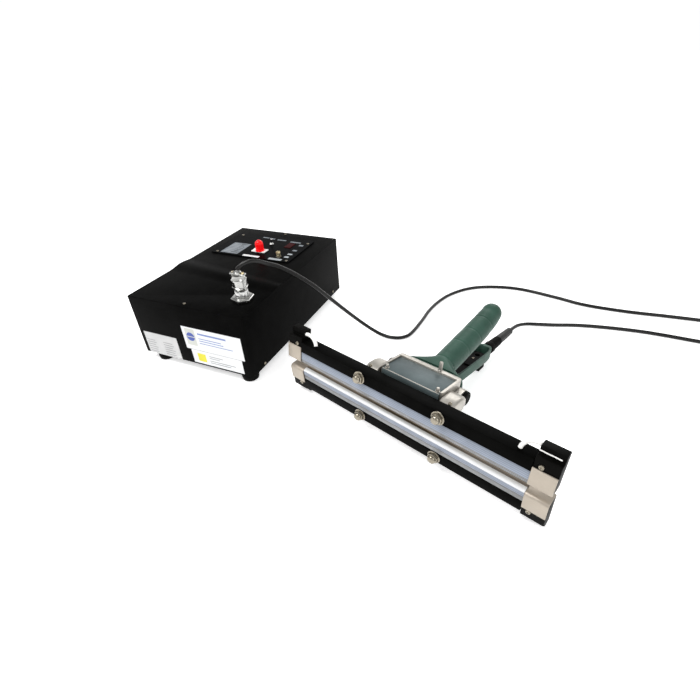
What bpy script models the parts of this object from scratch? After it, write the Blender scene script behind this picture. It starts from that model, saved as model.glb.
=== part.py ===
"""Impulse heat sealing tongs with their control box, joined by one cable. Metres, +Z up.

Lengths below are in millimetres. CASE is the control box's corner frame: X across, Y to the
rear, Z up from the floor. TOOL is the tongs' frame: X along the jaws, Y towards the handles.
"""

import math

import bpy
import bmesh
from mathutils import Matrix, Vector

MM = 0.001
ROW_X, ROW_Y = 358.685, 119.829          # case corner to the row's origin

# Control box
CASE_W, CASE_D, CASE_TOP = 240.0, 347.6, 132.0
FOOT_H, FOOT_R = 14.5, 15.5
WALL = 1.5
CREST_H = 3.0                        # the shallow fold across the top
CREST_LEFT = (115.0, 138.0, 160.0)
CREST_RIGHT = (100.0, 109.0, 118.0)
PANEL = (22.0, 205.0, 205.0, 314.0)
PANEL_T = 1.5
LAMP_XY, LAMP_R, LAMP_H = (123.0, 234.5), 9.0, 22.0
BEZEL = (105.0, 137.0, 228.0, 245.0)
TOGGLE_XY, TOGGLE_TILT = (127.0, 272.0), 12.0
SHAFT_XY = (175.2, 220.7)
DISPLAY = (159.0, 174.0, 267.0, 291.0)
PLUG_XY = (206.0, 54.8)
PLUG_TOP = 183.2

# Tongs
TOOL_AT, TOOL_YAW = (508.2, -52.6), -18.08
PIVOT_V, PIVOT_W = 76.0, 77.0
UPPER_W0, UPPER_PITCH = 68.5, 8.5    # height of the upper contact face and its lean
LOWER_V0, LOWER_W0, LOWER_PITCH = 1.5, 53.4, 2.5
JAW_HALF, BLOCK_FROM = 210.4, 182.1
BAR_V, BAR_LOW, BAR_HIGH = (1.4, 22.6), 19.1, 36.1
BOLT_U, BOLT_H = 63.6, 26.8
SHAFT_R, BORE_R = 5.0, 5.06
GRIP_R = 18.0
LEVER_PITCH = 7.7
BOOT_END, BOOT_W = 360.2, 16.4

CORD_R = 3.4
GAP = 0.3


def turned(degrees, axis):
    return Matrix.Rotation(math.radians(degrees), 4, axis)


def shift(x, y, z):
    return Matrix.Translation((x * MM, y * MM, z * MM))


CASE = shift(-ROW_X, -ROW_Y, 0)
TOOL = CASE @ shift(TOOL_AT[0], TOOL_AT[1], 0) @ turned(TOOL_YAW, "Z")
UPPER = TOOL @ shift(0, 0, UPPER_W0) @ turned(-UPPER_PITCH, "X")
LOWER = TOOL @ shift(0, LOWER_V0, LOWER_W0) @ turned(LOWER_PITCH, "X")
LEVER = TOOL @ shift(0, 150, 50) @ turned(-LEVER_PITCH, "X")
HEAD = TOOL @ shift(0, 36, 106) @ turned(-9.09, "X")
PIVOT = TOOL @ Vector((0, PIVOT_V * MM, PIVOT_W * MM))


# ---------------------------------------------------------------- shape helpers

def box(x0, x1, y0, y1, z0, z1):
    verts = [(x, y, z) for x in (x0, x1) for y in (y0, y1) for z in (z0, z1)]
    faces = [(0, 1, 3, 2), (4, 6, 7, 5), (0, 4, 5, 1), (2, 3, 7, 6), (0, 2, 6, 4), (1, 5, 7, 3)]
    return verts, faces


def loft(rings):
    """Closed solid through rings of equal point count, with flat ends."""
    count = len(rings[0])
    verts = [point for ring in rings for point in ring]
    faces = [tuple(range(count)), tuple(range(len(verts) - count, len(verts)))]
    for k in range(len(rings) - 1):
        for i in range(count):
            j = (i + 1) % count
            a = k * count
            faces.append((a + i, a + j, a + count + j, a + count + i))
    return verts, faces


def across(points, x0, x1):
    """Side profile of (y, z) points carried from x0 to x1."""
    return loft([[(x, y, z) for y, z in points] for x in (x0, x1)])


def upright(points, z0, z1):
    """Plan outline of (x, y) points carried from z0 to z1."""
    return loft([[(x, y, z) for x, y in points] for z in (z0, z1)])


def spun(profile, count=24, at=(0, 0, 0), axis="Z"):
    """Closed turned solid from (radius, height) points, first and last on or off the axis."""
    rings = []
    for r, h in profile:
        ring = []
        for i in range(count):
            a = 2 * math.pi * i / count
            c, s = r * math.cos(a), r * math.sin(a)
            p = {"Z": (c, s, h), "X": (h, c, s), "Y": (c, h, s)}[axis]
            ring.append(tuple(p[k] + at[k] for k in range(3)))
        rings.append(ring)
    return loft(rings)


def sleeve(profile, count=32, at=(0, 0, 0)):
    """Closed ring solid: the (radius, height) loop is turned right round Z."""
    verts, faces = [], []
    n = len(profile)
    for i in range(count):
        a = 2 * math.pi * i / count
        for r, h in profile:
            verts.append((r * math.cos(a) + at[0], r * math.sin(a) + at[1], h + at[2]))
    for i in range(count):
        for k in range(n):
            a, b = i * n, ((i + 1) % count) * n
            faces.append((a + k, a + (k + 1) % n, b + (k + 1) % n, b + k))
    return verts, faces


def rounded(x0, x1, y0, y1, r, steps=4):
    """Plan outline of a rectangle with rounded corners."""
    points = []
    for cx, cy, start in ((x1 - r, y1 - r, 0), (x0 + r, y1 - r, 90), (x0 + r, y0 + r, 180),
                          (x1 - r, y0 + r, 270)):
        for k in range(steps + 1):
            a = math.radians(start + 90 * k / steps)
            points.append((cx + r * math.cos(a), cy + r * math.sin(a)))
    return points


def oval(half_u, half_h, square, count=24):
    """Superellipse: square 2 is round, larger is boxier."""
    points = []
    for i in range(count):
        a = 2 * math.pi * (i + 0.5) / count
        c, s = math.cos(a), math.sin(a)
        points.append((half_u * math.copysign(abs(c) ** (2 / square), c),
                       half_h * math.copysign(abs(s) ** (2 / square), s)))
    return points


def mesh_object(name, frame, shape, origin):
    """Object whose mesh is given in frame, with its origin at a point of the row frame."""
    local = frame.inverted() @ origin if origin is not None else Vector((0, 0, 0))
    mesh = bpy.data.meshes.new(name)
    mesh.from_pydata([Vector(v) * MM - local for v in shape[0]], [], shape[1])
    work = bmesh.new()
    work.from_mesh(mesh)
    bmesh.ops.recalc_face_normals(work, faces=work.faces)
    work.to_mesh(mesh)
    work.free()
    mesh.shade_smooth()
    mesh.set_sharp_from_angle(angle=math.radians(35))
    obj = bpy.data.objects.new(name, mesh)
    obj.matrix_world = frame @ Matrix.Translation(local)
    bpy.context.scene.collection.objects.link(obj)
    return obj


def coloured(obj, rgb, metallic, roughness):
    material = bpy.data.materials.new(obj.name)
    material.use_nodes = True
    shader = material.node_tree.nodes["Principled BSDF"]
    shader.inputs["Base Color"].default_value = (*rgb, 1)
    shader.inputs["Metallic"].default_value = metallic
    shader.inputs["Roughness"].default_value = roughness
    obj.data.materials.append(material)


BLACK_PAINT = ((0.012, 0.012, 0.013), 0.0, 0.4)
BLACK_PLASTIC = ((0.015, 0.015, 0.015), 0.0, 0.5)
RUBBER = ((0.02, 0.02, 0.02), 0.0, 0.75)
GREEN = ((0.045, 0.105, 0.085), 0.2, 0.4)
NICKEL = ((0.55, 0.5, 0.44), 1.0, 0.35)
SILVER = ((0.72, 0.7, 0.66), 1.0, 0.35)
CHROME = ((0.8, 0.8, 0.8), 1.0, 0.15)
WHITE = ((0.85, 0.85, 0.83), 0.0, 0.5)


def piece(name, frame, look, shapes, cuts=(), bevel=0.0, origin=None):
    """One node: the first shape, with the others joined on and the cuts taken out."""
    obj = mesh_object(name, frame, shapes[0], origin)
    coloured(obj, *look)
    tools = [("UNION", s) for s in shapes[1:]] + [("DIFFERENCE", s) for s in cuts]
    for k, (operation, shape) in enumerate(tools):
        helper = mesh_object(f"{name}_{operation.lower()}_{k}", frame, shape, None)
        helper.hide_render = True
        helper.display_type = "WIRE"
        modifier = obj.modifiers.new(f"{operation}{k}", "BOOLEAN")
        modifier.operation = operation
        modifier.solver = "EXACT"
        modifier.object = helper
    if bevel:
        modifier = obj.modifiers.new("edges", "BEVEL")
        modifier.width = bevel * MM
        modifier.segments = 2
        modifier.limit_method = "ANGLE"
        modifier.angle_limit = math.radians(40)
    return obj


def smooth_path(points, spacing):
    """Even points along a Catmull-Rom curve through the given points."""
    pts = [Vector(p) for p in points]
    ends = [2 * pts[0] - pts[1]] + pts + [2 * pts[-1] - pts[-2]]
    dense = []
    for k in range(1, len(ends) - 2):
        p0, p1, p2, p3 = ends[k - 1:k + 3]
        t0, t1 = 0.0, max((p1 - p0).length, 1e-6) ** 0.5
        t2 = t1 + max((p2 - p1).length, 1e-6) ** 0.5
        t3 = t2 + max((p3 - p2).length, 1e-6) ** 0.5
        for i in range(24):
            t = t1 + (t2 - t1) * i / 24
            a1 = p0 * ((t1 - t) / (t1 - t0)) + p1 * ((t - t0) / (t1 - t0))
            a2 = p1 * ((t2 - t) / (t2 - t1)) + p2 * ((t - t1) / (t2 - t1))
            a3 = p2 * ((t3 - t) / (t3 - t2)) + p3 * ((t - t2) / (t3 - t2))
            b1 = a1 * ((t2 - t) / (t2 - t0)) + a2 * ((t - t0) / (t2 - t0))
            b2 = a2 * ((t3 - t) / (t3 - t1)) + a3 * ((t - t1) / (t3 - t1))
            dense.append(b1 * ((t2 - t) / (t2 - t1)) + b2 * ((t - t1) / (t2 - t1)))
    dense.append(pts[-1])
    total = sum((b - a).length for a, b in zip(dense, dense[1:]))
    count = max(2, round(total / spacing))
    even, walked, k = [dense[0]], 0.0, 0
    for i in range(1, count):
        goal = total * i / count
        while walked + (dense[k + 1] - dense[k]).length < goal:
            walked += (dense[k + 1] - dense[k]).length
            k += 1
        even.append(dense[k].lerp(dense[k + 1], (goal - walked) / (dense[k + 1] - dense[k]).length))
    return even + [dense[-1]]


def tube(name, frame, look, points, radius, sides=2):
    """A POLY curve with a round section and filled ends."""
    data = bpy.data.curves.new(name, "CURVE")
    data.dimensions = "3D"
    data.bevel_depth = radius * MM
    data.bevel_resolution = sides
    data.use_fill_caps = True
    data.render_resolution_u = 0
    spline = data.splines.new("POLY")
    spline.points.add(len(points) - 1)
    for target, p in zip(spline.points, points):
        target.co = (*(Vector(p) * MM), 1)
    spline.use_smooth = True
    obj = bpy.data.objects.new(name, data)
    obj.matrix_world = frame
    bpy.context.scene.collection.objects.link(obj)
    coloured(obj, *look)
    return obj


# ---------------------------------------------------------------- control box

def case_shell(inset, bottom):
    """The cover's outside, or its inside when inset is above 0."""
    low, high = inset, CASE_D - inset
    rings = []
    for x, crest in ((inset, CREST_LEFT), (CASE_W - inset, CREST_RIGHT)):
        top = CASE_TOP - inset
        rings.append([(x, low, bottom), (x, low, top), (x, crest[0], top),
                      (x, crest[1], top + CREST_H), (x, crest[2], top), (x, high, top),
                      (x, high, bottom)])
    return loft(rings)


def control_case():
    px, py = PLUG_XY
    inlet = box(42, 70.5, CASE_D - 6, CASE_D + 6, 46, 67.5)
    fuse = spun([(6.3, -6), (6.3, 6)], 20, (105, CASE_D, 57), "Y")
    socket = spun([(12.5, CASE_TOP - 6), (12.5, CASE_TOP + 6)], 28, (px, py, 0))
    window = box(PANEL[0] + 10, PANEL[1] - 10, PANEL[2] + 9, PANEL[3] - 12, 126, 138)
    piece("case_cover", CASE, BLACK_PAINT, [case_shell(0, FOOT_H + 0.1)],
          [case_shell(WALL, -5), inlet, fuse, socket, window])
    lo, hi, t = WALL + GAP, CASE_W - WALL - GAP, WALL
    z0, rise = FOOT_H + 0.3, FOOT_H + 24
    profile = [(lo, z0), (hi, z0), (hi, rise), (hi - t, rise), (hi - t, z0 + t),
               (lo + t, z0 + t), (lo + t, rise), (lo, rise)]
    rings = [[(x, y, z) for x, z in profile] for y in (WALL + GAP, CASE_D - WALL - GAP)]
    piece("case_base", CASE, BLACK_PAINT, [loft(rings)])
    for name, x, y in (("foot_front_left", 31, 15.8), ("foot_front_right", 221, 15.8),
                       ("foot_rear_left", 35, 330), ("foot_rear_right", 205, 330)):
        piece(name, CASE, RUBBER, [spun([(FOOT_R - 3, 0), (FOOT_R - 0.8, 1.4), (FOOT_R, FOOT_H - 1),
                                         (FOOT_R - 0.6, FOOT_H)], 24, (x, y, 0))])


def control_panel():
    x0, x1, y0, y1 = PANEL
    low = CASE_TOP + GAP
    high = low + PANEL_T
    holes = [spun([(r, low - 3), (r, high + 3)], 20, (x, y, 0))
             for x, y, r in ((*LAMP_XY, 6.3), (*TOGGLE_XY, 3.6), (*SHAFT_XY, 3.8))]
    holes.append(box(DISPLAY[0] - GAP, DISPLAY[1] + GAP, DISPLAY[2] - GAP, DISPLAY[3] + GAP,
                     low - 3, high + 3))
    plate = upright(rounded(x0, x1, y0, y1, 2, 2), low, high)
    piece("panel_plate", CASE, BLACK_PAINT, [plate], holes)

    lx, ly = LAMP_XY
    seat = high + GAP
    piece("lamp_bezel", CASE, WHITE, [upright(rounded(*BEZEL, 2, 2), seat, seat + 2)],
          [spun([(6.3, seat - 3), (6.3, seat + 6)], 20, (lx, ly, 0))])
    foot = seat + 2 + GAP
    dome = [(5.9, 118), (5.9, foot), (LAMP_R, foot + 0.01), (LAMP_R, foot + LAMP_H - 8)]
    dome += [(LAMP_R * math.cos(math.radians(a)), foot + LAMP_H - 8 + 8 * math.sin(math.radians(a)))
             for a in (22, 45, 67, 84)]
    piece("lamp_dome", CASE, ((0.75, 0.02, 0.02), 0.0, 0.2), [spun(dome, 24, (lx, ly, 0))])

    tx, ty = TOGGLE_XY
    nut = spun([(4.9, seat), (4.9, seat + 2)], 6, (tx, ty, 0))
    body = box(tx - 4.2, tx + 4.2, ty - 6.5, ty + 6.5, 116, low - 1)
    piece("toggle_bushing", CASE, CHROME,
          [body, spun([(3.2, low - 3), (3.2, seat + 4.2)], 20, (tx, ty, 0)), nut],
          [spun([(1.95, seat - 1), (1.95, seat + 2.8), (2.7, seat + 5)], 20, (tx, ty, 0))])
    hinge = CASE @ Vector((tx * MM, ty * MM, (seat + 2.5) * MM))
    lean = Matrix.Translation(hinge) @ turned(TOGGLE_TILT, "Y")
    bat = [(0.5, -1.5), (1.3, -1.0), (1.5, 0), (1.1, 1.4), (1.1, 5.2), (1.8, 9.4), (1.6, 10.6), (0.6, 11.1)]
    piece("toggle_lever", lean, CHROME, [spun(bat, 16)], origin=hinge)

    sx, sy = SHAFT_XY
    pot = spun([(8, 112), (8, CASE_TOP - WALL - 0.5)], 20, (sx, sy, 0))
    neck = spun([(3.4, low - 5), (3.4, seat + 2.8)], 20, (sx, sy, 0))
    ring = spun([(5.6, seat), (5.6, seat + 2.2)], 6, (sx, sy, 0))
    piece("timer_bushing", CASE, NICKEL, [pot, neck, ring],
          [spun([(2.5, 117), (2.5, seat + 9)], 20, (sx, sy, 0))])
    stem = [(2.3, 118), (2.3, seat + 3.1), (4.3, seat + 3.12), (4.3, seat + 11.2), (3.7, seat + 11.9)]
    axis = CASE @ Vector((sx * MM, sy * MM, (seat + 8) * MM))
    piece("timer_shaft", CASE, ((0.6, 0.42, 0.16), 1.0, 0.3), [spun(stem, 20, (sx, sy, 0))],
          [box(sx - 0.6, sx + 0.6, sy - 6, sy + 6, seat + 10.4, seat + 19)], origin=axis)
    piece("display_window", CASE, ((0.16, 0.01, 0.012), 0.0, 0.15),
          [box(*DISPLAY, low - 6, high + 1)], bevel=0.4)
    piece("timer_board", CASE, ((0.02, 0.12, 0.05), 0.0, 0.5),
          [box(40, 94, 222, 300, 116, 117.6), box(48, 66, 236, 270, 117, 126)])


def connector():
    x, y = PLUG_XY
    seat = CASE_TOP + GAP
    plate = carried(spun([(19.6, seat), (19.6, seat + 6.4)], 6), CASE @ shift(x, y, 0) @ turned(12, "Z"), CASE)
    barrel = spun([(12, 112), (12, seat + 2), (8, seat + 2.2), (8, seat + 11)], 28, (x, y, 0))
    piece("socket_flange", CASE, SILVER, [plate, barrel],
          [spun([(5.6, seat + 4), (5.6, seat + 20)], 24, (x, y, 0))])
    lift = seat + 11 + GAP
    body = [(8, lift), (8, lift + 7.6), (9.8, lift + 8), (12.9, lift + 12.5), (12.9, lift + 27), (11.4, lift + 30),
            (10.8, lift + 34)]
    piece("plug_body", CASE, SILVER, [spun(body, 28, (x, y, 0))])
    loop = [(8.35, seat + 6.8), (11, seat + 6.8), (11, lift + 6.2), (10.5, lift + 7), (8.35, lift + 7)]
    hub = CASE @ Vector((x * MM, y * MM, (seat + 12) * MM))
    piece("coupling_ring", CASE, CHROME, [sleeve(loop, 36, (x, y, 0))], origin=hub)
    base = lift + 34 + GAP
    saddle = box(x - 13.5, x + 13.5, y - 4.5, y + 4.5, base, PLUG_TOP)
    piece("cable_clamp", CASE, SILVER, [saddle], bevel=1.2)


def inside_and_rear():
    rear = CASE_D + GAP
    piece("power_inlet", CASE, BLACK_PLASTIC,
          [box(38, 74.5, rear, rear + 2.5, 42, 71.5), box(42.4, 70.1, CASE_D - 22, rear + 1, 46.4, 67.1)],
          [box(45, 67.5, CASE_D - 14, rear + 6, 49, 64.5)])
    piece("fuse_holder", CASE, BLACK_PLASTIC,
          [spun([(6, -30), (6, 0.5), (8.5, 0.51), (8.5, 4), (6.5, 8), (6.2, 9)], 20, (105, rear - 0.2, 57), "Y")])
    floor = FOOT_H + 0.3 + WALL + GAP
    piece("transformer", CASE, ((0.2, 0.2, 0.21), 0.7, 0.45),
          [box(62, 178, 96, 160, floor, floor + 92), box(82, 158, 80, 176, floor + 12, floor + 80)])


# ---------------------------------------------------------------- jaws

def jaw(name, frame, side, pad_height, origin):
    """side is 1 for the upper jaw, -1 for the lower one, which hangs the other way up."""
    def slab(x0, x1, y0, y1, z0, z1):
        low, high = sorted((side * z0, side * z1))
        return box(x0, x1, y0, y1, low, high)

    holes = [spun([(4.3, -4), (4.3, 30)], 16, (u, 0, side * BOLT_H), "Y") for u in (-BOLT_U, BOLT_U)]
    inner = BLOCK_FROM - GAP
    piece(f"{name}_bar", frame, BLACK_PAINT, [slab(-inner, inner, *BAR_V, BAR_LOW, BAR_HIGH)], holes,
          origin=origin)
    piece(f"{name}_block", frame, ((0.62, 0.62, 0.62), 1.0, 0.35),
          [slab(-inner, inner, 2.2, 21.8, pad_height + GAP, BAR_LOW - GAP)], bevel=0.8, origin=origin)
    for label, s in (("left", -1), ("right", 1)):
        u0, u1 = sorted((s * BLOCK_FROM, s * JAW_HALF))
        step = [(2.4, side * 3), (23, side * 3), (23, side * 51.9), (10, side * 51.9),
                (10, side * 42), (2.4, side * 42)]
        piece(f"{name}_end_{label}", frame, BLACK_PLASTIC, [across(step, u0, u1)], bevel=0.8, origin=origin)
        plate = [(0.4, side * 3.4), (0.4, side * 26.6), (2.1, side * 26.6), (2.1, side * 2.7),
                 (21, side * 2.7), (21, side * 1.2), (2.4, side * 1.2)]
        piece(f"{name}_clip_{label}", frame, NICKEL, [across(plate, u0, u1)], origin=origin)
        at = (s * BOLT_U, 0, side * BOLT_H)
        nut = spun([(3.9, 30), (3.9, BAR_V[0] - GAP), (9.4, BAR_V[0] - GAP - 0.01), (9.4, -0.2), (8.2, -0.4),
                    (8.2, -3.8), (6.8, -4.6), (6.2, -6.6), (4.4, -8.4), (1.4, -9.1)], 18, at, "Y")
        piece(f"{name}_bolt_{label}", frame, NICKEL, [nut], origin=origin)


def upper_jaw():
    jaw("upper", UPPER, 1, 1.0, None)
    piece("heating_strip", UPPER, ((0.5, 0.42, 0.3), 0.0, 0.4),
          [across([(2.4, 1.0), (2.4, 0.3), (4, 0), (20, 0), (21.6, 0.3), (21.6, 1.0)],
                  -BLOCK_FROM + GAP, BLOCK_FROM - GAP)])
    right = [(163.2, 7.8, 37.9), (163.8, 8.6, 41.4), (166.2, 10.8, 45.6), (170.4, 13.2, 48.6), (175.8, 14.6, 49.6),
             (181.6, 15, 49.2)]
    left = [(-181.6, 12.6, 46.4), (-176, 12.8, 47.0), (-169.5, 12, 46.4), (-163, 10.2, 44.6), (-158.2, 8.2, 42.6),
            (-155.4, 6.8, 40.8), (-154.2, 6, 38.4)]
    tube("wire_right", UPPER, WHITE, smooth_path(right, 4), 2.7, 2)
    tube("wire_left", UPPER, WHITE, smooth_path(left, 4), 2.8, 2)


def lower_jaw():
    jaw("lower", LOWER, -1, 7.8, PIVOT)
    pad = [(3.4, -7.8), (2.3, -5.6), (2.5, -2.6), (4.4, -0.6), (8, 0), (16, 0), (19.6, -0.6), (21.5, -2.6),
           (21.7, -5.6), (20.6, -7.8)]
    piece("seal_pad", LOWER, ((0.8, 0.82, 0.88), 0.0, 0.4),
          [across(pad, -BLOCK_FROM + GAP, BLOCK_FROM - GAP)], origin=PIVOT)


# ---------------------------------------------------------------- handles

def carried(shape, source, target):
    """The same shape, its points moved from one frame's millimetres to another's."""
    move = target.inverted() @ source
    return [tuple((move @ (Vector(v) * MM)) / MM) for v in shape[0]], shape[1]


def shaft_parts():
    """Two lugs that hang the upper jaw on the pivot shaft, the shaft and its caps."""
    bore = spun([(SHAFT_R + 0.02, -80), (SHAFT_R + 0.02, 80)], 24, (0, PIVOT_V, PIVOT_W), "X")
    for label, s in (("left", -1), ("right", 1)):
        arm = [(46, 74), (50, 90), (60, 89.5), (76, 87.9), (76, 66.1), (60, 69)]
        lug = [(25.8, 84.9), (27.8, 98.6), (34, 101.4), (50, 99.6), (58, 96.4), (61, 92.6), (61, 84), (50, 75)]
        boss = spun([(11, s * 50.8), (11, s * 60)], 24, (0, PIVOT_V, PIVOT_W), "X")
        hole = carried(spun([(4.3, -4), (4.3, 31)], 16, (s * BOLT_U, 0, BOLT_H), "Y"), UPPER, TOOL)
        rings = []
        for u, k in ((50.8, 1), (68, 1), (70.8, 0.9), (72.2, 0.75)):
            rings.append([(s * u, 43.5 + (v - 43.5) * k, 90 + (w - 90) * k) for v, w in lug])
        piece(f"jaw_lug_{label}", TOOL, SILVER,
              [loft(rings), across(arm, *sorted((s * 50.8, s * 60))), boss], [bore, hole])
        cap = [(10.2, s * 60.5), (10.2, s * 64), (8.8, s * 65.4), (3, s * 65.8)]
        piece(f"shaft_cap_{label}", TOOL, BLACK_PLASTIC, [spun(cap, 24, (0, PIVOT_V, PIVOT_W), "X")])
    piece("pivot_shaft", TOOL, CHROME,
          [spun([(SHAFT_R, -60.1), (SHAFT_R, 60.1)], 24, (0, PIVOT_V, PIVOT_W), "X")])
    turns = [(16 + 18 * i / 70, PIVOT_V + 7.6 * math.cos(i * math.pi / 7),
              PIVOT_W + 7.6 * math.sin(i * math.pi / 7)) for i in range(71)]
    tube("return_spring", TOOL, CHROME, turns, 0.9, 1)


def lever():
    """Fixed lower handle: an open channel whose front end climbs to the shaft."""
    def channel(half, depth, y, top=0.0, count=9):
        arc = [(-half * math.cos(math.pi * k / count), -depth + half * (1 - math.sin(math.pi * k / count)))
               for k in range(count + 1)]
        return [(-half, y, top)] + [(x, y, z) for x, z in arc] + [(half, y, top)]

    outside = [channel(15, 28, -11.4), channel(15, 28, 70), channel(14.4, 28, 95), channel(13, 27.5, 106),
               channel(10.5, 26.5, 112.5), channel(7.5, 24.5, 116.2), channel(4.5, 22.5, 117.6)]
    inside = [channel(12.4, 24.5, -1, 6), channel(12.4, 24.5, 70, 6), channel(11.8, 24.5, 95, 6),
              channel(10.2, 23.8, 105, 6), channel(6.5, 21, 110.5, 6)]
    web = [(67, 74), (84, 74), (81, 60), (80.5, 52.5), (141, 47), (141, 25.5), (112, 28), (82, 42), (68, 60)]
    boss = spun([(11, -14.5), (11, 14.5)], 24, (0, PIVOT_V, PIVOT_W), "X")
    bore = spun([(SHAFT_R + 0.02, -80), (SHAFT_R + 0.02, 80)], 24, (0, PIVOT_V, PIVOT_W), "X")
    piece("lever", TOOL, GREEN, [carried(loft(outside), LEVER, TOOL), across(web, -12.7, 12.7), boss],
          [carried(loft(inside), LEVER, TOOL), bore, box(-11.5, 11.5, 136, 150, 47, 60)])
    piece("lever_insert", LEVER, BLACK_PLASTIC,
          [upright([(-11, 0), (11, 0), (11, 60), (9.4, 96), (-9.4, 96), (-11, 60)], -14, -6.5)], bevel=0.8)
    piece("lever_foot", TOOL, RUBBER,
          [across([(230, 1.2), (233, 0.1), (247, 0.1), (250, 1.2), (249, 7.2), (231, 9.7)], -7, 7)])
    aim = TOOL @ shift(0, 267.7, 24.5) @ turned(-90 - 5.0, "X")
    piece("cable_collar", aim, RUBBER,
          [spun([(9, 0.5), (10.3, 1.5), (10.3, 12), (9.2, 13.5), (9.0, 26), (8.4, 40)], 24)])
    piece("cable_boot", aim, RUBBER,
          [spun([(8.1, 40.3), (7.9, 52), (7.5, 64), (7.1, 76), (6.7, 88), (5.6, 90.3)], 24)])


def grip():
    """Head housing and round grip in one casting, pivoting on the shaft."""
    stations = [(36.4, 78.2, 0, 44.6, 22.6, 9), (39, 78.0, 0, 45, 22.4, 9), (88, 73.6, 0, 45, 18.4, 8),
                (90, 74, 0, 48.5, 18.4, 7), (95, 74.8, 0, 47, 18.4, 5), (104, 75.8, 2, 36, 18.2, 3.2),
                (113, 76.8, 4, 24, 18.1, 2.4),
                (121, 77.4, 6, 18.9, 18, 2), (132.5, 78.2, 6, 18, 18, 2), (150, 80, 6, 18.3, 18.3, 2),
                (160, 81.1, 6, 17.5, 17.5, 2), (170, 82.2, 6, 17.5, 17.5, 2), (180, 83.3, 6, 18.4, 18.4, 2),
                (194, 84.9, 7, 17.6, 17.6, 2), (204, 86.2, 8, 17.6, 17.6, 2), (216, 88, 9, 18.4, 18.4, 2),
                (229, 90.3, 10, 17.6, 17.6, 2), (240, 92.2, 13, 17.6, 17.6, 2), (250, 94.6, 18, 17.4, 17.4, 2),
                (257, 96.7, 27, 16.8, 16.8, 2), (263, 99.2, 35, 16.3, 16.3, 2),
                (267.9, 102.6, 35, 15.2, 15.2, 2), (272, 105.5, 35, 12, 12, 2), (274.9, 107.5, 35, 7.4, 7.4, 2),
                (276.1, 108.4, 35, 3.1, 3.1, 2)]
    rings = []
    for v, w, slope, half_u, half_h, square in stations:
        a = math.radians(slope)
        rings.append([(x, v - z * math.sin(a), w + z * math.cos(a)) for x, z in oval(half_u, half_h, square)])
    hollow = upright(rounded(-39.5, 39.5, 41, 87, 4, 2), 40, 90)
    bore = spun([(BORE_R, -60), (BORE_R, 60)], 24, (0, PIVOT_V, PIVOT_W), "X")
    deck = across([(20, 103.1), (20, 130), (96, 130), (96, 91)], -60, 60)
    piece("grip", TOOL, GREEN, [loft(rings)], [hollow, bore, deck], origin=PIVOT)


def head_top():
    outer = upright(rounded(-50.3, 50.3, -0.5, 51, 5, 3), -16, 0)
    inside = box(-46.4, 46.4, -10, 43.8, -30, 10)
    under = box(-46.4, 46.4, 30, 60, -30, -5)
    pin = spun([(2.8, -2), (2.8, 12.6), (1.8, 13.8)], 16, (17, 47.6, 0))
    piece("head_frame", HEAD, SILVER, [outer, pin], [inside, under], origin=PIVOT)
    top = box(-46, 46, -2.2, 43.4, -4.9, -2.3)
    lip = box(-46, 46, -2.2, -0.5, -14, -3)
    piece("nameplate", HEAD, ((0.16, 0.19, 0.21), 0.6, 0.4), [top, lip], origin=PIVOT)


def lower_arms():
    """Bracket under the head that carries the lower jaw."""
    shapes = []
    lean = math.radians(LOWER_PITCH)

    def on_jaw(v, w):
        return (LOWER_V0 + v * math.cos(lean) + w * math.sin(lean),
                LOWER_W0 + v * math.sin(lean) - w * math.cos(lean))

    plate = [on_jaw(23, 19.5), on_jaw(30, 19.5), on_jaw(30, 35), on_jaw(23, 35)]
    shapes.append(across(plate, -77, 77))
    for s in (-1, 1):
        web = [on_jaw(28, 21), (42, 55.2), (70, 55.2), (64, 47), (46, 25), on_jaw(28, 34)]
        shapes.append(across(web, *sorted((s * 34, s * 42))))
    holes = [carried(spun([(4.3, -4), (4.3, 31.5)], 16, (u, 0, -BOLT_H), "Y"), LOWER, TOOL)
             for u in (-BOLT_U, BOLT_U)]
    piece("lower_bracket", TOOL, SILVER, shapes, holes, origin=PIVOT)


# ---------------------------------------------------------------- cable

LEAD = [(206, 54.8, 186.3), (211.4, 59.3, 191.7), (217.6, 64.6, 195.1), (224.4, 70.2, 196.3),
        (231.1, 75.9, 195.1), (236.2, 80.1, 192.6), (244.2, 87.2, 187.4),
        (253, 97, 181), (270, 115, 163), (291, 139, 133), (311, 163, 97), (330, 184, 64), (349, 200, 37),
        (368, 209, 18), (388, 211.6, 7), (404, 211.2, 3.8), (412, 211.1, 3.6), (428, 215.3, 3.6),
        (439.7, 227, 3.6), (444.4, 242, 3.6), (447.3, 262, 3.6), (450, 290, 3.6),
        (455, 347, 3.6), (474, 409, 3.6), (508, 454, 3.6), (548, 477, 3.6), (610, 488, 3.6),
        (693, 472, 3.6), (743, 458, 3.6), (820, 454.5, 3.6), (890, 459.5, 3.6),
        (940, 462.4, 3.6), (965, 462.9, 3.6), (987.2, 462.9, 3.6)]
TAIL = [(987.2, 379.1, 7.6), (975, 379.1, 5.2), (960, 379.4, 3.7), (930, 381, 3.6), (842, 384, 3.6),
        (745, 372, 3.6), (692, 356, 3.7), (665, 346.5, 5.2), (645.5, 335, 8.6), (632, 319.5, 12.4),
        (624.8, 303.6, 15.1)]
COIL_AT, COIL_OUT, COIL_IN, COIL_H = (1012, 421), 45.4, 31.6, 13.7


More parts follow.
